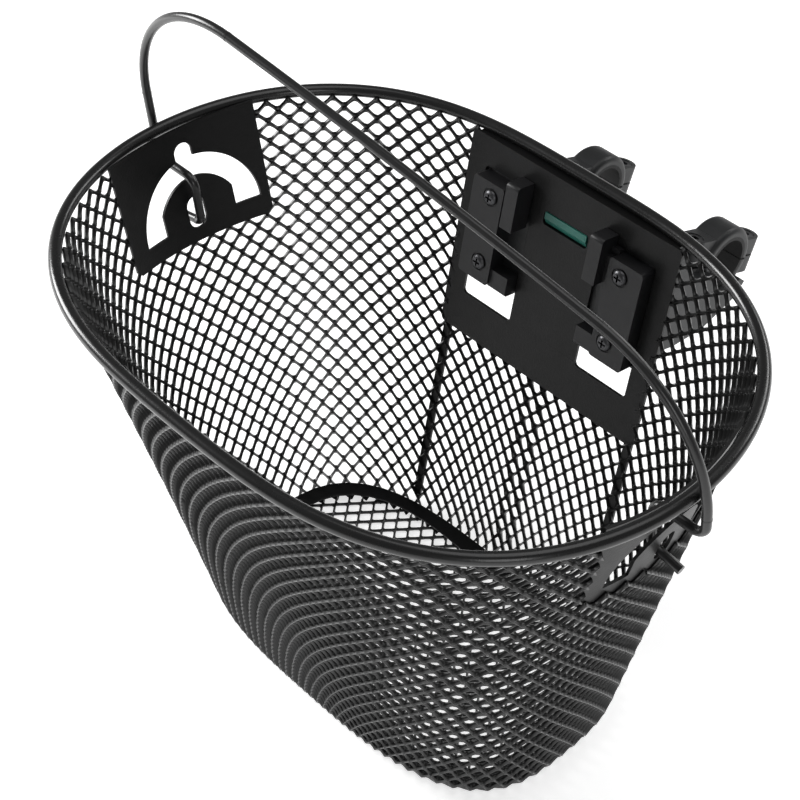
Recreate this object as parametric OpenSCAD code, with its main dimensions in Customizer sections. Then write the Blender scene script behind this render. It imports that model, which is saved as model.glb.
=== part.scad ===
// Handlebar basket of expanded steel mesh with a swinging carry handle,
// two slotted side plates and a lift-off bracket for a round handlebar.
// Millimetres, +Z up, X across the bicycle, +Y towards the rider.
// Origin: middle of the floor's underside, where the basket stands.

/* [Basket] */
// Width of the rim, measured between rod centres
rim_w = 350; // [349:0.5:350.5]
// Height of the rim's rod centre above the floor's underside
basket_h = 244; // [240:1:248]
// Diameter of the rim rod
rim_d = 6.5; // [6:0.5:7]
// Thickness of the mesh sheet
mesh_t = 1.2; // [1:0.1:1.4]
// Half width of the floor
base_a = 116; // [114:1:118]
// Half depth of the floor
base_b = 70.5; // [69:0.5:72]
// Roundness of the floor's outline, 2 is an ellipse
base_n = 3.1; // [2.8:0.1:3.4]
// Radius where the wall turns into the floor
corner_r = 10; // [8:1:12]

/* [Mount plate] */
// Width of the mount plate
plate_w = 138; // [136:1:139]
// Height of the mount plate
plate_h = 118; // [116:1:120]
// Thickness of the steel plates
plate_t = 1.5; // [1.2:0.1:1.6]
// How far the mount plate leans back, in degrees
plate_lean = 10.5; // [10:0.1:11]
// Width of each hook window
window_w = 34; // [33.5:0.1:35]
// Height of each hook window
window_h = 77; // [76:0.5:78]

/* [Side plates] */
// Outer radius of the half-ring slot
arch_ro = 35.5; // [35:0.1:36]
// Width of the tongue inside the half ring
tongue_w = 43; // [42:0.5:44]
// Width of the pivot slot and of the locking notch
slot_w = 10.5; // [10:0.1:11]

/* [Carry handle] */
// Diameter of the handle wire
wire_d = 4.6; // [4.4:0.1:4.8]
// Distance between the centres of the handle's legs
handle_w = 364; // [363.6:0.2:366]
// How far the handle leans towards the front, in degrees
handle_lean = 5; // [0:1:6]
// Slope of the handle's crown, in degrees
crown_slope = 7.5; // [0:0.5:8]
// Radius of the handle's corners
crown_r = 71; // [66:1:74]

/* [Bracket] */
// Diameter of the bar that the clamps take
bar_d = 25.4; // [25:0.1:25.8]
// Distance of the bar's centre behind the basket's middle
bar_y = 175; // [174:0.5:178]
// Distance of the bar's centre below the rim
bar_drop = 54; // [53:0.5:55]
// Distance between the two clamps' centres
clamp_span = 84; // [82:1:86]
// Width of each clamp
clamp_w = 17; // [16:0.5:18]
// Thickness of the rubber liner
shim_t = 1.9; // [1.7:0.1:2]

/* [Hidden] */
steel = [0.06, 0.06, 0.065];
plastic = [0.09, 0.09, 0.095];
zinc = [0.45, 0.45, 0.47];
teal = [0.16, 0.43, 0.37];
N = 72;
// cosine terms of the rim's rounded outline
rim_k = [152.8, -7, -24.7, 0.8, -2.2, 0, 0.4];
base_y = 1.4;
plate_y = 111.8;
plate_back = 0.4;
side_lean = 12.9;
side_x = 170.9;
side_bend = 132.5;
side_bend_y = -6.1;
pivot_w = 52;
pivot_z = basket_h - pivot_w * cos(side_lean);
hook_r = 29;
hook_x = 154;
bz = basket_h - bar_drop;
sad_r = bar_d / 2 + shim_t;
cap_r = sad_r + 4.4;
ear_y = 24;
clamp_tilt = 20;
arm_w = 26;
blk_x0 = 35.5;
blk_x1 = 56.5;
screw_x = 43.5;
screw_w = [27, 65];
blk_p = 8.5;

// ---- outline functions ----
function rim_r(a) = rim_w / 350 * (rim_k[0] + rim_k[1]*cos(a) + rim_k[2]*cos(2*a) + rim_k[3]*cos(3*a)
    + rim_k[4]*cos(4*a) + rim_k[5]*cos(5*a) + rim_k[6]*cos(6*a));
function base_r(a) = 1 / pow(pow(abs(sin(a)) / base_a, base_n) + pow(abs(cos(a)) / base_b, base_n), 1 / base_n);
function wall_r(a, z) = let (t = 1 - z / basket_h) (1 - t) * (rim_r(a) - rim_d / 2 + 0.3) + t * base_r(a);
function wall_pt(a, z, inset) = let (r = wall_r(a, z) - inset)
    [r * sin(a), r * cos(a) + base_y * (1 - z / basket_h), z];
// angle at which the wall passes a given x on the back side
function back_a(x, z, a = 20, n = 12) = n == 0 ? a : back_a(x, z, asin(x / wall_r(a, z)), n - 1);
function back_y(x, z, inset) = wall_pt(back_a(x, z), z, inset)[1];

// closed skin through a loop of rings, each ring a list of N points
module ring_loop(rings) {
    M = len(rings);
    pts = [for (r = rings) for (p = r) p];
    faces = [for (i = [0:M-1]) for (j = [0:N-1])
        let (i2 = (i + 1) % M, j2 = (j + 1) % N, a = i*N + j, b = i*N + j2, c = i2*N + j2, d = i2*N + j)
        for (f = [[a, c, b], [a, d, c]]) f];
    polyhedron(points = pts, faces = faces);
}
function ring_at(z, inset) = [for (j = [0:N-1]) wall_pt(j * 360 / N, z, inset)];

// ---- placing frames ----
module on_plate() translate([0, plate_y, basket_h]) rotate([-plate_lean, 0, 0]) children();
module on_side() translate([side_x, 0, basket_h]) rotate([0, side_lean, 0]) children();
module flip() mirror([1, 0, 0]) children();
// box in the plate's frame: x range, y range (+ is behind), w range (down from the top edge)
module pbox(x0, x1, y0, y1, w0, w1) translate([x0, y0, -w1]) cube([x1 - x0, y1 - y0, w1 - w0]);
module rrect(x0, x1, y0, y1, r) {
    translate([x0 + r, y0]) square([x1 - x0 - 2*r, y1 - y0]);
    translate([x0, y0 + r]) square([x1 - x0, y1 - y0 - 2*r]);
    for (x = [x0 + r, x1 - r], y = [y0 + r, y1 - r]) translate([x, y]) circle(r = r, $fn = 32);
}
// sheet standing in the plate's frame, front at y0
module sheet(y0, t) translate([0, y0 + t, 0]) rotate([90, 0, 0]) linear_extrude(height = t) children();

// ---- basket ----
module rim() {
    sides = 12;
    ctr = [for (j = [0:N-1]) let (a = j * 360 / N) [rim_r(a) * sin(a), rim_r(a) * cos(a)]];
    nrm = [for (j = [0:N-1]) let (p = ctr[(j + N - 1) % N], q = ctr[(j + 1) % N], d = q - p, l = norm(d)) [-d[1] / l, d[0] / l]];
    rings = [for (s = [0:sides-1]) let (u = s * 360 / sides)
        [for (j = [0:N-1]) [ctr[j][0] - nrm[j][0] * cos(u) * rim_d / 2, ctr[j][1] - nrm[j][1] * cos(u) * rim_d / 2, basket_h - sin(u) * rim_d / 2]]];
    color(steel) ring_loop(rings);
}
module wall_skin() {
    c = corner_r;
    t = mesh_t;
    outer = concat([ring_at(basket_h, 0), ring_at(c, 0)],
        [for (f = [22.5:22.5:90]) ring_at(c * (1 - sin(f)), c * (1 - cos(f)))]);
    inner = concat([for (f = [90:-22.5:22.5]) ring_at(t + (c - t) * (1 - sin(f)), t + (c - t) * (1 - cos(f)))],
        [ring_at(c, t), ring_at(basket_h, t)]);
    ring_loop(concat(outer, inner));
}
module wall_mesh() color(steel) difference() {
    wall_skin();
    on_plate() pbox(-64, 64, -14, 14, 6, plate_h - 4);
    for (m = [0, 1]) mirror([m, 0, 0]) on_side() translate([-16, -43, -59]) cube([24, 81.5, 55]);
}
module base_outline(inset) polygon([for (j = [0:N-1]) let (p = wall_pt(j * 360 / N, 0, inset)) [p[0], p[1]]]);
module base_mesh() color(steel) linear_extrude(height = mesh_t) base_outline(corner_r);
module base_ring() color(steel) translate([0, 0, 4.7]) linear_extrude(height = 1.2) difference() {
    base_outline(2.4);
    base_outline(12.5);
}
module side_slots() {
    // half-ring slot around the tongue
    difference() {
        intersection() {
            translate([1, -52.5]) circle(r = arch_ro, $fn = 96);
            rrect(-arch_ro, arch_ro + 2, -53.5, -10, 2);
        }
        intersection() {
            translate([1, -52.5]) circle(r = 24, $fn = 64);
            translate([1 - tongue_w / 2, -57]) square([tongue_w, 32]);
        }
    }
    // locking notch at the top of the half ring
    translate([-slot_w / 2, -25]) square([slot_w, 11]);
    translate([0, -14]) circle(d = slot_w, $fn = 48);
    // pivot slot in the tongue
    for (w = [44.5, 57 - slot_w / 2]) translate([0, -w]) circle(d = slot_w, $fn = 48);
    translate([-slot_w / 2, slot_w / 2 - 57]) square([slot_w, 12.5 - slot_w / 2]);
}
module side_plate() on_side() intersection() {
    rotate([90, 0, 90]) translate([0, 0, -30]) linear_extrude(height = 40) difference() {
        polygon([[-47, -0.5], [42, -0.5], [41, -62], [38.5, -65], [-43, -63.5], [-46, -60.5]]);
        side_slots();
    }
    translate([-side_bend, side_bend_y, -80]) difference() {
        cylinder(r = side_bend, h = 90, $fn = 200);
        translate([0, 0, -1]) cylinder(r = side_bend - plate_t, h = 92, $fn = 200);
    }
}
module right_side_plate() color(steel) side_plate();
module left_side_plate() color(steel) flip() side_plate();
module mount_plate() color(steel) on_plate() {
    sheet(0, plate_t) difference() {
        rrect(-plate_w / 2, plate_w / 2, -plate_h, -1.5, 3);
        for (m = [0, 1]) mirror([m, 0]) rrect(23, 23 + window_w, -17 - window_h, -17, 2.5);
        rrect(-14.8, 14.8, -29.6, -22, 2);
    }
    // top edge folded back onto the rim
    pbox(3.5 - plate_w / 2, plate_w / 2 - 3.5, 0, 7.2, 1.5, 1.5 + plate_t);
}
module strut() {
    x = 65;
    z1 = basket_h - (plate_h - 6);
    z2 = 9;
    // flat bar lying on the outside of the mesh, its top on the mount plate's back
    y1 = back_y(x, z1, 0) + 0.6;
    y2 = back_y(x, z2, 0) + 0.6;
    l = norm([y1 - y2, z1 - z2]);
    translate([x, y2, z2]) rotate([-atan((y1 - y2) / (z1 - z2)), 0, 0]) translate([-2.5, -1, 0]) cube([5, 2, l]);
}
module right_back_strut() color(steel) strut();
module left_back_strut() color(steel) flip() strut();

// ---- carry handle: one wire in a plane, x across and h up from the pivot ----
module run(p, a, l) translate([p[0], 0, p[1]]) rotate([0, 90 - a, 0]) cylinder(d = wire_d, h = l, $fn = 32);
module bend_l(p, a0, a1, r) translate([p[0] - r * sin(a0), 0, p[1] + r * cos(a0)]) rotate([90, 0, 0])
    rotate([0, 0, a0 - 90]) rotate_extrude(angle = a1 - a0, $fn = 64) translate([r, 0]) circle(d = wire_d, $fn = 32);
module bend_r(p, a0, a1, r) translate([p[0] + r * sin(a0), 0, p[1] - r * cos(a0)]) rotate([90, 0, 0])
    rotate([0, 0, a1 + 90]) rotate_extrude(angle = a0 - a1, $fn = 64) translate([r, 0]) circle(d = wire_d, $fn = 32);
// thin weld collar over a joint between two lengths of wire
module collar(p, a) translate([p[0], 0, p[1]]) rotate([0, 90 - a, 0]) translate([0, 0, -0.5]) cylinder(d = wire_d + 0.2, h = 1, $fn = 48);
module handle_end(top) {
    x = handle_w / 2;
    a = 180 - side_lean;
    // stub through the pivot slot, square to the side plate
    q = [hook_x - 5 * (sin(a) - 1), 0];
    run(q + 13.4 * [cos(side_lean), -sin(side_lean)], a, 13.4);
    // over the tongue and out through the half ring, then up outside the rim
    bend_r(q, a, 90, 5);
    h1 = -5 * cos(a);
    run([hook_x, h1], 90, hook_r - 6 - h1);
    bend_r([hook_x, hook_r - 6], 90, 0, 6);
    run([hook_x + 6, hook_r], 0, x - 13 - hook_x);
    bend_l([x - 7, hook_r], 0, 90, 7);
    run([x, hook_r + 7], 90, top - hook_r - 7);
    collar(q, a);
    collar([hook_x, h1], 90);
}
module carry_handle() {
    x = handle_w / 2;
    g = 2;
    d1 = 180 - crown_slope - g;
    d2 = 180 - crown_slope + g;
    rk = (-2 * x - crown_r * (sin(d1) - 1) + crown_r * (1 + sin(d2))) / (sin(d2) - sin(d1));
    top_r = 40.5;
    p1 = [x, top_r];
    p2 = p1 + crown_r * [sin(d1) - 1, -cos(d1)];
    p3 = p2 + rk * [sin(d2) - sin(d1), cos(d1) - cos(d2)];
    p4 = p3 + crown_r * [-1 - sin(d2), cos(d2)];
    color(steel) translate([0, -1, pivot_z]) rotate([handle_lean, 0, 0]) {
        collar(p1, 90);
        collar(p2, d1);
        collar(p3, d2);
        collar(p4, 90);
        handle_end(top_r);
        flip() handle_end(p4[1]);
        bend_l(p1, 90, d1, crown_r);
        translate([p2[0] - rk * sin(d1), 0, p2[1] + rk * cos(d1)]) rotate([90, 0, 0])
            rotate([0, 0, d1 - 90]) rotate_extrude(angle = d2 - d1, $fn = 256) translate([rk, 0]) circle(d = wire_d, $fn = 32);
        bend_l(p3, d2, 270, crown_r);
    }
}

// ---- bracket ----
module at_bar() translate([0, bar_y, bz]) rotate([-clamp_tilt, 0, 0]) children();
// half of a clamp with its two ears, split through the bar's centre
module clamp_half(xc, up) {
    s = up ? 1 : -1;
    at_bar() translate([xc, 0, 0]) {
        // ring with rounded shoulders
        rotate([0, 90, 0]) rotate([0, 0, up ? 90 : -90]) rotate_extrude(angle = 180, $fn = 96) translate([0, -clamp_w / 2]) {
            translate([sad_r - 1, 0]) square([cap_r - 3 - sad_r + 1, clamp_w]);
            translate([sad_r - 1, 3]) square([cap_r - sad_r + 1, clamp_w - 6]);
            for (z = [3, clamp_w - 3]) translate([cap_r - 3, z]) circle(r = 3, $fn = 32);
        }
        // ears
        for (e = [-1, 1]) {
            h = up ? (e < 0 ? 14 : 9.5) : 10;
            translate([0, e * ear_y, up ? 0 : -h]) cylinder(r = 6.6, h = h, $fn = 48);
            translate([-6.6, e > 0 ? sad_r - 1 : -ear_y, up ? 0 : -h]) cube([13.2, ear_y - sad_r + 1, h]);
        }
    }
}
module clamp_holes(x) at_bar() for (e = [-1, 1]) {
    translate([x, e * ear_y, -40]) cylinder(d = 5.2, h = 80, $fn = 32);
    // counterbores for the heads and pockets for the nuts
    translate([x, e * ear_y, e < 0 ? 9.4 : 4.9]) cylinder(r = 4.6, h = 10, $fn = 48);
    translate([x, e * ear_y, -50]) cylinder(r = 5.1, h = 44, $fn = 6);
}
module bar_bore(x) at_bar() translate([x - clamp_w, 0, 0]) rotate([0, 90, 0]) cylinder(r = sad_r, h = 2 * clamp_w, $fn = 96);
module bracket_body() color(plastic) difference() {
    union() {
        on_plate() sheet(plate_t + plate_back, 18) rrect(-60, 60, -77, -13, 4);
        for (s = [-1, 1]) difference() {
            union() {
                clamp_half(s * clamp_span / 2, false);
                // arm between the body and the clamp
                translate([s * clamp_span / 2 - arm_w / 2, 0, basket_h]) rotate([90, 0, 90]) linear_extrude(height = arm_w)
                    polygon([[116, -25], [129, -26], [138, -31], [143.5, -bar_drop + 9], [bar_y, -bar_drop - 4], [bar_y + 12, -bar_drop - 16],
                        [bar_y + 5, -bar_drop - 23], [155, -bar_drop - 30], [132, -82], [109, -75]]);
            }
            split_above2(s);
        }
    }
    // bores for bar and liner
    for (s = [-1, 1]) bar_bore(s * clamp_span / 2);
    for (s = [-1, 1]) clamp_holes(s * clamp_span / 2);
    on_plate() {
        // opening for the latch tongue, then its pocket and the cover's recess
        pbox(-15.2, 15.2, plate_t - 1, 7, 21.6, 30.2);
        pbox(-20, 20, 5, 30, 17.5, 35);
        pbox(-27, 27, 18, 30, 14.5, 38);
        for (s = [-1, 1], w = screw_w) translate([s * screw_x, 0, -w]) rotate([-90, 0, 0]) cylinder(r = 2, h = 16, $fn = 32);
        for (s = [-1, 1]) translate([s * 23.5, 10, -26.2]) rotate([-90, 0, 0]) cylinder(r = 1.2, h = 12, $fn = 24);
    }
}
// room that the cap takes above the lower half, at the clamp only
module split_above2(s) at_bar() translate([s * clamp_span / 2 - 15, -ear_y - 7, -0.6]) cube([30, 80, 40]);
// profile across the plate (y, w), extruded from x0 to x1
module fin(x0, x1) translate([x0, 0, 0]) rotate([90, 0, 90]) linear_extrude(height = x1 - x0) children();
module hook_block() on_plate() difference() {
    union() {
        // main block, through the window and standing proud of the plate
        translate([0, 0, 0]) sheet(-blk_p, blk_p + plate_t + plate_back) rrect(blk_x0, blk_x1, -76, -19, 2);
        // upper hook: neck through the window, then a fin rising in front of the plate
        pbox(26, blk_x0 + 1, -3, plate_t + plate_back, 17.3, 37);
        fin(24, 32) {
            translate([-12, -37]) square([11.6, 22]);
            translate([-10, -15]) square([9.6, 3.5]);
            translate([-10, -15]) circle(r = 2, $fn = 32);
            translate([-10, -13.5]) circle(r = 2, $fn = 32);
            translate([-12, -15]) square([3, 1.5]);
        }
        // web between fin and block
        sheet(-6, 6) rrect(30, blk_x0 + 1.5, -37, -21, 1);
        // lower lug
        fin(24, blk_x0 + 1) {
            translate([-7, -75]) square([7 + plate_t + plate_back, 9]);
            translate([-5, -77]) square([5 + plate_t + plate_back, 3]);
            translate([-5, -75]) circle(r = 2, $fn = 32);
        }
    }
    for (w = screw_w) translate([screw_x, -14, -w]) rotate([-90, 0, 0]) cylinder(r = 2.2, h = 20, $fn = 32);
    // shallow seat round each screw head
    for (w = screw_w) translate([screw_x, -14, -w]) rotate([-90, 0, 0]) cylinder(r = 5, h = 14 - blk_p + 0.6, $fn = 48);
}
module right_hook_block() color(plastic) hook_block();
module left_hook_block() color(plastic) flip() hook_block();
module cross_recess(r, d) for (a = [0, 90]) rotate([0, 0, a]) translate([-r, -0.5, -0.01]) cube([2 * r, 1, d]);
module pan_screw() difference() {
    union() {
        // head: short cylinder with a domed top made by turning a profile
        rotate_extrude($fn = 48) polygon([[0, 0], [2.4, 0.15], [3.6, 0.8], [4.2, 1.8], [4.2, 2.6], [0, 2.6]]);
        translate([0, 0, 2.6]) cylinder(r = 2, h = 20, $fn = 32);
    }
    cross_recess(2.2, 1.5);
}
module hook_screws() color(zinc) on_plate() for (s = [-1, 1], w = screw_w)
    translate([s * screw_x, -blk_p - 2, -w]) rotate([-90, 0, 0]) pan_screw();

// ---- latch ----
module latch() color(teal) on_plate() {
    // tongue with a ramped underside, and its flange in the pocket
    translate([-13.8, 0, 0]) rotate([90, 0, 90]) linear_extrude(height = 27.6)
        polygon([[-0.5, -22.4], [6, -22.4], [6, -29.2], [1.5, -29.2], [-0.5, -25.9]]);
    pbox(-19, 19, 5.3, 8.3, 18.5, 34);
    translate([0, 8.3, -26.2]) rotate([-90, 0, 0]) cylinder(r = 2.4, h = 3, $fn = 32);
}
module latch_spring() {
    sides = 6;
    turns = 4.5;
    k = 72;
    l = 8.8;
    rm = 3.6;
    rw = 0.4;
    pts = [for (i = [0:k]) let (a = i / k * turns * 360, y = 8.75 + i / k * l, c = [rm * cos(a), y, rm * sin(a)])
        for (s = [0:sides-1]) let (u = s * 360 / sides) c + rw * [cos(u) * cos(a), sin(u), cos(u) * sin(a)]];
    faces = concat([for (i = [0:k-1]) for (s = [0:sides-1])
        let (s2 = (s + 1) % sides, a = i*sides + s, b = i*sides + s2, c = (i+1)*sides + s2, d = (i+1)*sides + s)
        for (f = [[a, b, c], [a, c, d]]) f],
        [[for (s = [sides-1:-1:0]) s]], [[for (s = [0:sides-1]) k*sides + s]]);
    color(zinc) on_plate() translate([0, 0, -26.2]) polyhedron(points = pts, faces = faces);
}
module latch_cover() color(plastic) on_plate() difference() {
    pbox(-26.8, 26.8, 18, 19.9, 14.7, 37.8);
    for (s = [-1, 1]) translate([s * 23.5, 10, -26.2]) rotate([-90, 0, 0]) cylinder(r = 1.4, h = 12, $fn = 24);
}
module cover_screws() color(zinc) on_plate() for (s = [-1, 1]) translate([s * 23.5, 21.6, -26.2]) rotate([90, 0, 0]) difference() {
    union() {
        rotate_extrude($fn = 32) polygon([[0, 0], [1.6, 0.2], [2.3, 1], [2.3, 1.7], [0, 1.7]]);
        translate([0, 0, 1.7]) cylinder(r = 1.2, h = 7.5, $fn = 24);
    }
    cross_recess(1.3, 0.9);
}

// ---- clamps ----
module clamp_cap() difference() {
    clamp_half(clamp_span / 2, true);
    at_bar() translate([0, -60, -60]) cube([90, 120, 60.6]);
    bar_bore(clamp_span / 2);
    clamp_holes(clamp_span / 2);
}
module right_clamp_cap() color(plastic) clamp_cap();
module left_clamp_cap() color(plastic) flip() clamp_cap();
module clamp_bolts() color(zinc) at_bar() for (s = [-1, 1], e = [-1, 1])
    translate([s * clamp_span / 2, e * ear_y, e < 0 ? 9.4 : 4.9]) difference() {
        union() {
            cylinder(r = 4.25, h = 4.2, $fn = 48);
            translate([0, 0, e < 0 ? -25.4 : -20.9]) cylinder(r = 2.5, h = (e < 0 ? 25.4 : 20.9) + 1, $fn = 32);
        }
        translate([0, 0, 1.8]) cylinder(r = 2.3, h = 3, $fn = 6);
    }
module clamp_nuts() color(zinc) at_bar() for (s = [-1, 1], e = [-1, 1])
    translate([s * clamp_span / 2, e * ear_y, -10]) difference() {
        cylinder(r = 4.6, h = 4, $fn = 6);
        translate([0, 0, -1]) cylinder(r = 2.5, h = 6, $fn = 32);
    }
module shim() {
    // split rubber liner
    x0 = clamp_span / 2 - clamp_w / 2;
    at_bar() translate([x0, 0, 0]) rotate([0, 90, 0]) difference() {
        cylinder(r = sad_r, h = clamp_w, $fn = 96);
        translate([0, 0, -1]) cylinder(r = bar_d / 2, h = clamp_w + 2, $fn = 96);
        translate([-0.3, 5, -1]) cube([0.6, 20, clamp_w + 2]);
    }
}
module right_shim() color([0.05, 0.05, 0.05]) shim();
module left_shim() color([0.05, 0.05, 0.05]) flip() shim();

rim();
wall_mesh();
base_mesh();
base_ring();
left_side_plate();
right_side_plate();
mount_plate();
left_back_strut();
right_back_strut();
carry_handle();
bracket_body();
left_hook_block();
right_hook_block();
hook_screws();
latch();
latch_spring();
latch_cover();
cover_screws();
left_clamp_cap();
right_clamp_cap();
clamp_bolts();
clamp_nuts();
left_shim();
right_shim();
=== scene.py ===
import bpy, math
import numpy as np
from mathutils import Matrix, Vector


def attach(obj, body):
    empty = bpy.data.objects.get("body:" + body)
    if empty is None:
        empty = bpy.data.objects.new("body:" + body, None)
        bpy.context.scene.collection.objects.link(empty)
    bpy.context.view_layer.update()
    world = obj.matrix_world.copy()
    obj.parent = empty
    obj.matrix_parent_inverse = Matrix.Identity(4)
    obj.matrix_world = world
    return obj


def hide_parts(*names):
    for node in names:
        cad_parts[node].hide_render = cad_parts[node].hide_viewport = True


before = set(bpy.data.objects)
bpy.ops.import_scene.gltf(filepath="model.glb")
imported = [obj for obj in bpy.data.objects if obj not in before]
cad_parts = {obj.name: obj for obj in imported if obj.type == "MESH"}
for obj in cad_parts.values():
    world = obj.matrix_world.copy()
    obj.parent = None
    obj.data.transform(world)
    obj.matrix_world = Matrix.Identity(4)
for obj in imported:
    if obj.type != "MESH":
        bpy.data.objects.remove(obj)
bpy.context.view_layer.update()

MM = 0.001
RZ = 244.0
RIM_K = [152.8, -7.0, -24.7, 0.8, -2.2, 0.0, 0.4]
RIM_D = 6.5
CORNER = 10.0
WT = 1.2


# ------------------------------------------------------------------ outline
def rim_r(a):
    return sum(c * np.cos(i * a) for i, c in enumerate(RIM_K))


def base_r(a):
    n = 3.1
    return 1.0 / ((np.abs(np.sin(a)) / 116.0) ** n + (np.abs(np.cos(a)) / 70.5) ** n) ** (1 / n)


def wall_pt(a, z, inset):
    """Point of the wall's outer skin, moved in by inset, arrays allowed (mm)."""
    t = 1 - z / RZ
    r = (1 - t) * (rim_r(a) - RIM_D / 2 + 0.3) + t * base_r(a) - inset
    return np.stack([r * np.sin(a), r * np.cos(a) + 1.4 * t, z + 0 * a], -1)


L_STRAIGHT = RZ - CORNER          # measured in height, the arc follows
L_ARC = CORNER * math.pi / 2


def skin(a, s):
    """Wall mid surface. s runs down from the rim: height drop first, then the arc into the floor."""
    s = np.asarray(s, float) + 0 * a
    f = np.clip((s - L_STRAIGHT) / L_ARC, 0, 1.0) * math.pi / 2
    flat = np.maximum(s - L_STRAIGHT - L_ARC, 0)
    m = CORNER - WT / 2
    z = np.where(s < L_STRAIGHT, RZ - s, WT / 2 + m * (1 - np.sin(f)))
    inset = np.where(s < L_STRAIGHT, WT / 2, WT / 2 + m * (1 - np.cos(f)) + flat)
    return wall_pt(a, z, inset)


def skin_frame(a, s):
    p = skin(a, s)
    da, ds = 1e-3, 0.05
    ta = skin(a + da, s) - skin(a - da, s)
    tu = skin(a, s - ds) - skin(a, s + ds)        # up the wall
    ta /= np.linalg.norm(ta, axis=-1, keepdims=True)
    tu /= np.linalg.norm(tu, axis=-1, keepdims=True)
    n = np.cross(tu, ta)
    n /= np.linalg.norm(n, axis=-1, keepdims=True)
    # outward: away from the axis, or down on the floor side
    out = np.stack([np.sin(a), np.cos(a), -0.5 + 0 * a], -1)
    sgn = np.sign((n * out).sum(-1, keepdims=True))
    return p, ta, tu, n * sgn


# ------------------------------------------------------------------ mesh helper
def new_mesh(name, verts, faces, mat, smooth=True, auto=None):
    me = bpy.data.meshes.new(name)
    me.from_pydata([tuple(v) for v in np.asarray(verts) * MM], [], [tuple(f) for f in faces])
    me.validate()
    me.update()
    ob = bpy.data.objects.new(name, me)
    bpy.context.scene.collection.objects.link(ob)
    me.materials.append(mat)
    if smooth:
        me.polygons.foreach_set("use_smooth", [True] * len(me.polygons))
        if auto is not None:
            me.set_sharp_from_angle(angle=math.radians(auto))
    return ob


def sweep(sections, closed):
    """Skin between consecutive sections (each (m,3)); closed joins last to first, else caps."""
    S = np.asarray(sections)
    n, m = S.shape[:2]
    V = S.reshape(-1, 3)
    F = []
    last = n if closed else n - 1
    for i in range(last):
        j = (i + 1) % n
        for k in range(m):
            k2 = (k + 1) % m
            F.append((i * m + k, i * m + k2, j * m + k2, j * m + k))
    if not closed:
        F.append(tuple(range(m - 1, -1, -1)))
        F.append(tuple((n - 1) * m + k for k in range(m)))
    return V, F


# ------------------------------------------------------------------ materials
def nodes_of(name):
    m = bpy.data.materials.new(name)
    m.use_nodes = True
    nt = m.node_tree
    nt.nodes.clear()
    out = nt.nodes.new("ShaderNodeOutputMaterial")
    b = nt.nodes.new("ShaderNodeBsdfPrincipled")
    nt.links.new(b.outputs[0], out.inputs[0])
    return m, nt, b


def coords(nt):
    return nt.nodes.new("ShaderNodeTexCoord").outputs["Object"]


def noise(nt, scale, detail=3.0, rough=0.55, vec=None):
    n = nt.nodes.new("ShaderNodeTexNoise")
    n.inputs["Scale"].default_value = scale
    n.inputs["Detail"].default_value = detail
    n.inputs["Roughness"].default_value = rough
    nt.links.new(vec if vec is not None else coords(nt), n.inputs["Vector"])
    return n.outputs["Fac"]


def ramp(nt, fac, stops):
    r = nt.nodes.new("ShaderNodeValToRGB")
    r.color_ramp.elements[0].position = stops[0][0]
    r.color_ramp.elements[0].color = (*stops[0][1], 1)
    r.color_ramp.elements[1].position = stops[-1][0]
    r.color_ramp.elements[1].color = (*stops[-1][1], 1)
    for p, c in stops[1:-1]:
        e = r.color_ramp.elements.new(p)
        e.color = (*c, 1)
    nt.links.new(fac, r.inputs["Fac"])
    return r.outputs["Color"]


def remap(nt, fac, a, b):
    r = nt.nodes.new("ShaderNodeMapRange")
    r.inputs["To Min"].default_value = a
    r.inputs["To Max"].default_value = b
    nt.links.new(fac, r.inputs["Value"])
    return r.outputs["Result"]


def bump(nt, height, strength, dist, normal=None):
    n = nt.nodes.new("ShaderNodeBump")
    n.inputs["Strength"].default_value = strength
    n.inputs["Distance"].default_value = dist
    nt.links.new(height, n.inputs["Height"])
    if normal is not None:
        nt.links.new(normal, n.inputs["Normal"])
    return n.outputs["Normal"]


def powder(name, base=0.012, rough=(0.26, 0.40), peel=0.35, coat=0.25, spec=0.45):
    """Black powder coat: slight orange peel, fine specks, uneven gloss."""
    m, nt, b = nodes_of(name)
    co = coords(nt)
    big = noise(nt, 9.0, 3.0, 0.5, co)
    col = ramp(nt, big, [(0.3, (base * 0.8,) * 3), (0.7, (base * 1.35, base * 1.35, base * 1.4))])
    nt.links.new(col, b.inputs["Base Color"])
    nt.links.new(remap(nt, noise(nt, 120.0, 4.0, 0.6, co), *rough), b.inputs["Roughness"])
    n1 = bump(nt, noise(nt, 900.0, 2.0, 0.5, co), peel, 0.00012)
    n2 = bump(nt, noise(nt, 4200.0, 2.0, 0.5, co), peel * 0.5, 0.00003, n1)
    nt.links.new(n2, b.inputs["Normal"])
    b.inputs["Specular IOR Level"].default_value = spec
    b.inputs["Coat Weight"].default_value = coat
    b.inputs["Coat Roughness"].default_value = 0.18
    return m


def plastic(name, color, rough=(0.38, 0.52), grain=0.5, scale=1500.0):
    """Moulded nylon with a fine spark-eroded grain."""
    m, nt, b = nodes_of(name)
    co = coords(nt)
    big = noise(nt, 25.0, 3.0, 0.5, co)
    c0 = tuple(c * 0.85 for c in color)
    c1 = tuple(min(1, c * 1.15) for c in color)
    nt.links.new(ramp(nt, big, [(0.3, c0), (0.7, c1)]), b.inputs["Base Color"])
    nt.links.new(remap(nt, noise(nt, 200.0, 4.0, 0.6, co), *rough), b.inputs["Roughness"])
    n1 = bump(nt, noise(nt, scale, 3.0, 0.6, co), grain, 0.00008)
    nt.links.new(n1, b.inputs["Normal"])
    return m


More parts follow.
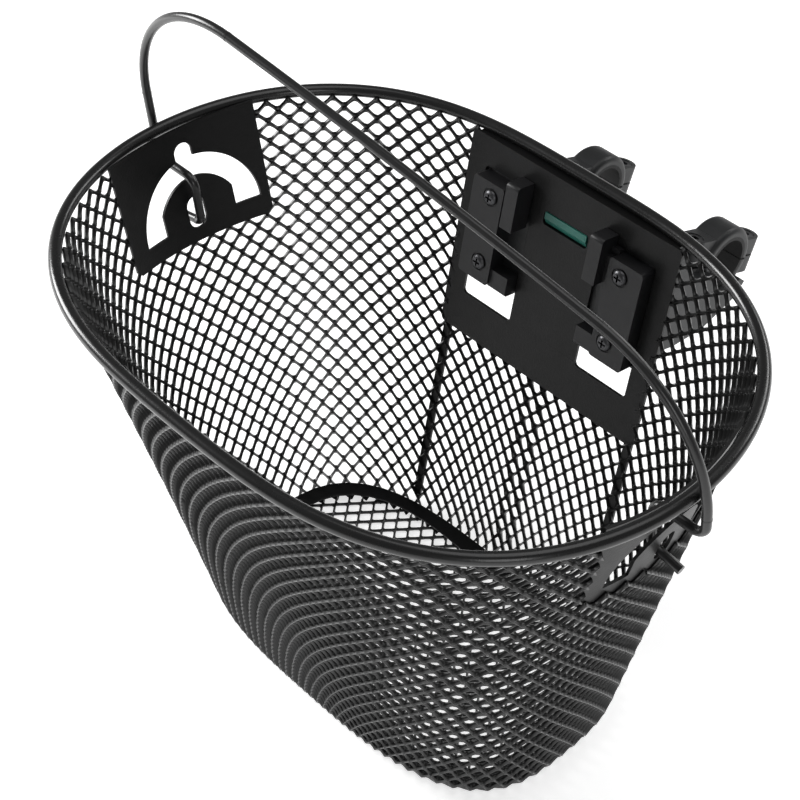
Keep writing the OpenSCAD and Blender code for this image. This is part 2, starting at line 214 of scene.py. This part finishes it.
def metal(name, color, rough=(0.25, 0.4), scale=400.0):
    m, nt, b = nodes_of(name)
    co = coords(nt)
    nt.links.new(ramp(nt, noise(nt, 60.0, 4.0, 0.6, co), [(0.35, tuple(c * 0.8 for c in color)), (0.65, color)]),
                 b.inputs["Base Color"])
    b.inputs["Metallic"].default_value = 1.0
    nt.links.new(remap(nt, noise(nt, 150.0, 4.0, 0.6, co), *rough), b.inputs["Roughness"])
    n1 = bump(nt, noise(nt, scale * 5, 2.0, 0.5, co), 0.3, 0.00003)
    nt.links.new(n1, b.inputs["Normal"])
    return m


COAT = powder("powder_coat", 0.007, (0.22, 0.34), 0.3, 0.35)
COAT_MESH = powder("powder_coat_mesh", 0.006, (0.24, 0.38), 0.2, 0.30, 0.38)
PLATE = powder("powder_coat_plate", 0.005, (0.34, 0.48), 0.7, 0.06, 0.25)
WIRE = powder("powder_coat_wire", 0.012, (0.24, 0.36), 0.2, 0.3)
NYLON = plastic("black_nylon", (0.007, 0.007, 0.008))
NYLON_B = plastic("black_nylon_bracket", (0.011, 0.012, 0.013), (0.4, 0.55), 0.8, 900.0)
TEAL = plastic("teal_button", (0.022, 0.150, 0.118), (0.30, 0.42), 0.3)
OXIDE = metal("black_oxide", (0.10, 0.10, 0.105), (0.28, 0.42))
ZINC = metal("zinc_plate", (0.62, 0.63, 0.65), (0.25, 0.4))
RUBBER = plastic("rubber_liner", (0.012, 0.012, 0.012), (0.62, 0.8), 0.8, 1100.0)


# ------------------------------------------------------------------ expanded mesh
NCOL = 84                 # openings around the wall
BOND = 0.70               # half the overlap at a bond, mm
TILT = math.radians(37)
STRAND_W, STRAND_T = 2.30, 1.92
LEAN = 3.4 / NCOL
# one period of a strand: straight runs between eased bends at the bonds
FRAC = np.array([0.0, 0.045, 0.09, 0.25, 0.41, 0.455, 0.5, 0.545, 0.59, 0.75, 0.91, 0.955])
HGT = np.array([1.0, 0.97, 0.82, 0.0, -0.82, -0.97, -1.0, -0.97, -0.82, 0.0, 0.82, 0.97])
# strands swell a little where two rows join, which rounds the corners of the openings
SWELL = 1 + 0.26 * np.abs(HGT) ** 4

# angle as a function of arc length round the rim
_A = np.linspace(0, 2 * math.pi, 7201)
_P = np.stack([rim_r(_A) * np.sin(_A), rim_r(_A) * np.cos(_A)], -1)
_S = np.r_[0, np.cumsum(np.linalg.norm(np.diff(_P, axis=0), axis=1))]
_S /= _S[-1]


def angle_at(u):
    return np.interp(np.mod(u, 1.0), _S, _A)


def row_lines():
    """Positions of the rows, closer near the rim and wider near the floor, as drawn mesh is."""
    s, rows = 4.2, []
    end = L_STRAIGHT + L_ARC + 2
    while s < end:
        t = min(s / L_STRAIGHT, 1)
        h = 5.45 + 1.25 * t
        rows.append((s, h))
        s += h
    return rows


PLATE_Y, PLATE_LEAN = 111.8, math.radians(10.5)
SIDE_X, SIDE_LEAN = 170.9, math.radians(12.9)


def plate_uv(p):
    """x and drop w in the mount plate's frame, and distance behind it."""
    y, z = p[..., 1] - PLATE_Y, p[..., 2] - RZ
    c, s = math.cos(PLATE_LEAN), math.sin(PLATE_LEAN)
    return p[..., 0], -(y * s + z * c) * 1.0, y * c - z * s


def side_uv(p):
    x, z = np.abs(p[..., 0]) - SIDE_X, p[..., 2] - RZ
    c, s = math.cos(SIDE_LEAN), math.sin(SIDE_LEAN)
    return p[..., 1], -(x * s + z * c), x * c - z * s


def kept(p):
    """False where the sheet is cut away behind the plates."""
    x, w, d = plate_uv(p)
    cut = (np.abs(x) < 65.0) & (w > 0.5) & (w < 115.0) & (p[..., 1] > 40)
    u, w2, d2 = side_uv(p)
    cut |= (u > -43.5) & (u < 39) & (w2 > 0.5) & (w2 < 59.5) & (np.abs(p[..., 0]) > 100)
    return ~cut


def section(p, ta, tu, n, width=STRAND_W, thick=STRAND_T, tilt=TILT, cut=0.32):
    """Six-cornered section of a strand, its outer edges eased; its lower edge stands outward."""
    ew = math.cos(tilt) * tu - math.sin(tilt) * n
    et = math.sin(tilt) * tu + math.cos(tilt) * n
    a = np.asarray(width, float) / 2 + np.zeros(len(p))
    b = np.asarray(thick, float) / 2 + np.zeros(len(p))
    a, b = a[:, None], b[:, None]
    return np.stack([p + ew * (a - cut) + et * b, p - ew * (a - cut) + et * b, p - ew * a + et * (b - cut),
                     p - ew * (a - 0.5 * cut) - et * b, p + ew * (a - 0.5 * cut) - et * b, p + ew * a + et * (b - cut)], -2)


def add(store, sec, closed):
    v, f = sweep(sec, closed)
    base = store[2]
    store[0].append(v)
    store[1].extend(tuple(i + base for i in q) for q in f)
    store[2] = base + len(v)


def wall_lattice(rows):
    store = [[], [], 0]
    u = (np.arange(NCOL)[:, None] + FRAC[None]).ravel() / NCOL
    wave = np.tile(HGT, NCOL)
    # the sheet's ends are joined in one narrow column at the middle of the back
    du = np.abs(np.mod(u * NCOL + NCOL / 2, NCOL) - NCOL / 2)
    seam = 1 + 0.55 * np.exp(-((du - 0.55) / 0.28) ** 2)
    swell = np.tile(SWELL, NCOL)
    rng = np.random.RandomState(11)
    for k, (s0, h) in rows:
        amp = h / 2 - BOND
        sign = 1 if k % 2 else -1
        s = s0 + amp * wave * sign + rng.normal(0, 0.04, len(wave))
        # the columns draw in towards the middle of the front, as they do in the photographed sheet
        a = angle_at(u + LEAN * s / RZ * np.sin(2 * np.pi * u) * np.sin(np.pi * u) ** 2)
        p, ta, tu, n = skin_frame(a, s)
        sec = section(p, ta, tu, n, STRAND_W * swell * seam, STRAND_T * swell * seam)
        sec[..., 2] = np.maximum(sec[..., 2], 0.1)
        ok = kept(p)
        if ok.all():
            add(store, sec, True)
            continue
        # broken rows: keep the runs between the cut-outs
        start = np.flatnonzero(~ok)[0]
        order = np.r_[np.arange(start, len(ok)), np.arange(0, start)]
        run = []
        for i in list(order) + [order[0]]:
            if ok[i]:
                run.append(i)
            elif run:
                if len(run) > 2:
                    add(store, sec[run], False)
                run = []
    return np.concatenate(store[0]), store[1]


ROWS = list(enumerate(row_lines()))
CUTS = np.linspace(0, len(ROWS), 5).astype(int)
for q, part in enumerate(["top", "upper", "lower", "foot"]):
    V, F = wall_lattice(ROWS[CUTS[q]:CUTS[q + 1]])
    wall = new_mesh("wall_mesh_" + part, V, F, COAT_MESH, smooth=True, auto=50)
    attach(wall, "basket"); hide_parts("wall_mesh")
    print("wall", part, "faces", len(F))


def base_lattice():
    """Flat mesh of the floor, cut along its outline."""
    V, F, base = [], [], 0
    px, hy = 9.6, 5.9
    ncol = 30
    x = ((np.arange(-ncol // 2, ncol // 2)[:, None] + FRAC[None]).ravel()) * px
    wave = np.tile(HGT, ncol)
    swell = np.tile(SWELL, ncol)
    for k in range(-13, 14):
        y = 1.4 + k * hy + (hy / 2 - BOND) * wave * (1 if k % 2 else -1)
        a = np.arctan2(x, y - 1.4)
        inside = np.hypot(x, y - 1.4) < base_r(a) - CORNER + 1.5
        p = np.stack([x, y, 0 * x + 1.15], -1)
        one = np.ones_like(x)[:, None]
        ta = one * [1, 0, 0]; tu = one * [0, 1, 0]; n = one * [0, 0, -1]
        sec = section(p, ta, tu, n, 2.0 * swell, 1.2, math.radians(24), 0.25)
        run = []
        for i in range(len(x) + 1):
            if i < len(x) and inside[i]:
                run.append(i)
            elif run:
                if len(run) > 2:
                    v, f = sweep(sec[run], False)
                    V.append(v); F += [tuple(j + base for j in q) for q in f]; base += len(v)
                run = []
    return np.concatenate(V), F


V, F = base_lattice()
floor_mesh = new_mesh("base_mesh_lattice", V, F, COAT_MESH, smooth=True, auto=50)
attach(floor_mesh, "basket"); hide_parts("base_mesh")


# ------------------------------------------------------------------ rim rod
def rim_rod():
    n, m = 420, 20
    a = np.arange(n) * 2 * math.pi / n
    c = np.stack([rim_r(a) * np.sin(a), rim_r(a) * np.cos(a), 0 * a + RZ], -1)
    t = np.roll(c, -1, 0) - np.roll(c, 1, 0)
    t /= np.linalg.norm(t, axis=1, keepdims=True)
    nr = np.cross(t, [0, 0, 1.0])
    th = np.arange(m) * 2 * math.pi / m
    sec = c[:, None] + RIM_D / 2 * (np.cos(th)[None, :, None] * nr[:, None] + np.sin(th)[None, :, None] * np.array([0, 0, 1.0]))
    return sweep(sec, True)


V, F = rim_rod()
rim = new_mesh("rim_rod", V, F, COAT)
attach(rim, "basket"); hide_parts("rim")

# ------------------------------------------------------------------ CAD pieces carried over
MATS = {
    "base_ring": PLATE, "left_side_plate": PLATE, "right_side_plate": PLATE, "mount_plate": PLATE,
    "left_back_strut": PLATE, "right_back_strut": PLATE, "carry_handle": WIRE,
    "bracket_body": NYLON_B, "left_hook_block": NYLON, "right_hook_block": NYLON, "hook_screws": OXIDE,
    "latch": TEAL, "latch_spring": ZINC, "latch_cover": NYLON_B, "cover_screws": ZINC,
    "left_clamp_cap": NYLON_B, "right_clamp_cap": NYLON_B, "clamp_bolts": OXIDE, "clamp_nuts": ZINC,
    "left_shim": RUBBER, "right_shim": RUBBER,
}
BEVEL = {"left_hook_block": 0.7, "right_hook_block": 0.7, "bracket_body": 0.8, "latch": 0.4, "latch_cover": 0.4,
         "left_clamp_cap": 0.8, "right_clamp_cap": 0.8, "mount_plate": 0.35, "hook_screws": 0.2, "clamp_bolts": 0.3, "clamp_nuts": 0.25,
         "left_back_strut": 0.4, "right_back_strut": 0.4, "base_ring": 0.3}
for name, mat in MATS.items():
    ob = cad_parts[name]
    for i in range(max(1, len(ob.data.materials))):
        if len(ob.data.materials) <= i:
            ob.data.materials.append(mat)
        else:
            ob.data.materials[i] = mat
    if name in BEVEL:
        w = ob.modifiers.new("weld", "WELD"); w.merge_threshold = 0.00001
        b = ob.modifiers.new("bevel", "BEVEL")
        b.width = BEVEL[name] * MM
        b.segments = 2
        b.limit_method = "ANGLE"; b.angle_limit = math.radians(35)
        b.use_clamp_overlap = True
        b.harden_normals = False

# ------------------------------------------------------------------ stage, light, camera
def stage_floor():
    n = 24
    prof = [(-1.2, 0.0), (1.6, 0.0)] + [(1.6 + 0.6 * math.sin(t), 0.6 - 0.6 * math.cos(t)) for t in np.linspace(0.1, math.pi / 2, n)] + [(2.2, 2.6)]
    me = bpy.data.meshes.new("floor")
    R = 3.2
    v = [(-4, -4, 0), (4, -4, 0), (4, 4, 0), (-4, 4, 0)]
    me.from_pydata(v, [], [(0, 1, 2, 3)])
    ob = bpy.data.objects.new("floor", me)
    bpy.context.scene.collection.objects.link(ob)
    m, nt, b = nodes_of("pale_floor")
    nt.links.new(ramp(nt, noise(nt, 2.0, 2.0, 0.5), [(0.3, (0.86, 0.86, 0.86)), (0.7, (0.88, 0.88, 0.88))]), b.inputs["Base Color"])
    b.inputs["Roughness"].default_value = 0.75
    b.inputs["Specular IOR Level"].default_value = 0.2
    # lit from below like a light table
    b.inputs["Emission Color"].default_value = (1, 1, 1, 1)
    b.inputs["Emission Strength"].default_value = 0.65
    me.materials.append(m)
    return ob


stage_floor()


def area(name, loc, target, size, power, color=(1, 1, 1)):
    li = bpy.data.lights.new(name, "AREA")
    li.shape = "RECTANGLE"; li.size, li.size_y = size
    li.energy = power; li.color = color
    ob = bpy.data.objects.new(name, li)
    bpy.context.scene.collection.objects.link(ob)
    d = Vector(target) - Vector(loc)
    ob.matrix_world = Matrix.Translation(loc) @ d.to_track_quat("-Z", "Y").to_matrix().to_4x4()
    return ob


C0 = (0, 0, 0.15)
area("key", (-1.3, -0.5, 0.75), C0, (0.6, 0.6), 18)
area("top", (0.1, 0.3, 1.7), C0, (1.2, 1.2), 6)
area("fill", (1.3, -0.9, 0.8), C0, (0.5, 0.8), 3.5)
area("back", (0.2, 1.4, 0.9), C0, (1.0, 0.3), 5)

w = bpy.data.worlds.new("studio")
bpy.context.scene.world = w
w.use_nodes = True
bg = w.node_tree.nodes["Background"]
bg.inputs["Color"].default_value = (1.0, 1.0, 1.0, 1)
bg.inputs["Strength"].default_value = 0.17
bpy.context.scene.view_settings.view_transform = "Standard"
bpy.context.scene.view_settings.look = "None"

az, el = 0.817368, 0.755131
right = Vector((math.cos(az), math.sin(az), 0))
up = Vector((-math.sin(el) * math.sin(az), math.sin(el) * math.cos(az), math.cos(el)))
back = Vector((math.sin(az) * math.cos(el), -math.cos(az) * math.cos(el), math.sin(el)))
pos = (right * -3.470 + up * -52.180 + back * 849.0 + Vector((0, 0, 244))) * MM
cam = bpy.data.cameras.new("camera")
cam.sensor_fit = "HORIZONTAL"; cam.sensor_width = 36.0
cam.lens = 1863.93 * 36.0 / 800.0
cam.clip_start = 0.01; cam.clip_end = 50
co = bpy.data.objects.new("camera", cam)
bpy.context.scene.collection.objects.link(co)
co.matrix_world = Matrix(((right.x, up.x, back.x, pos.x), (right.y, up.y, back.y, pos.y), (right.z, up.z, back.z, pos.z), (0, 0, 0, 1)))
bpy.context.scene.camera = co
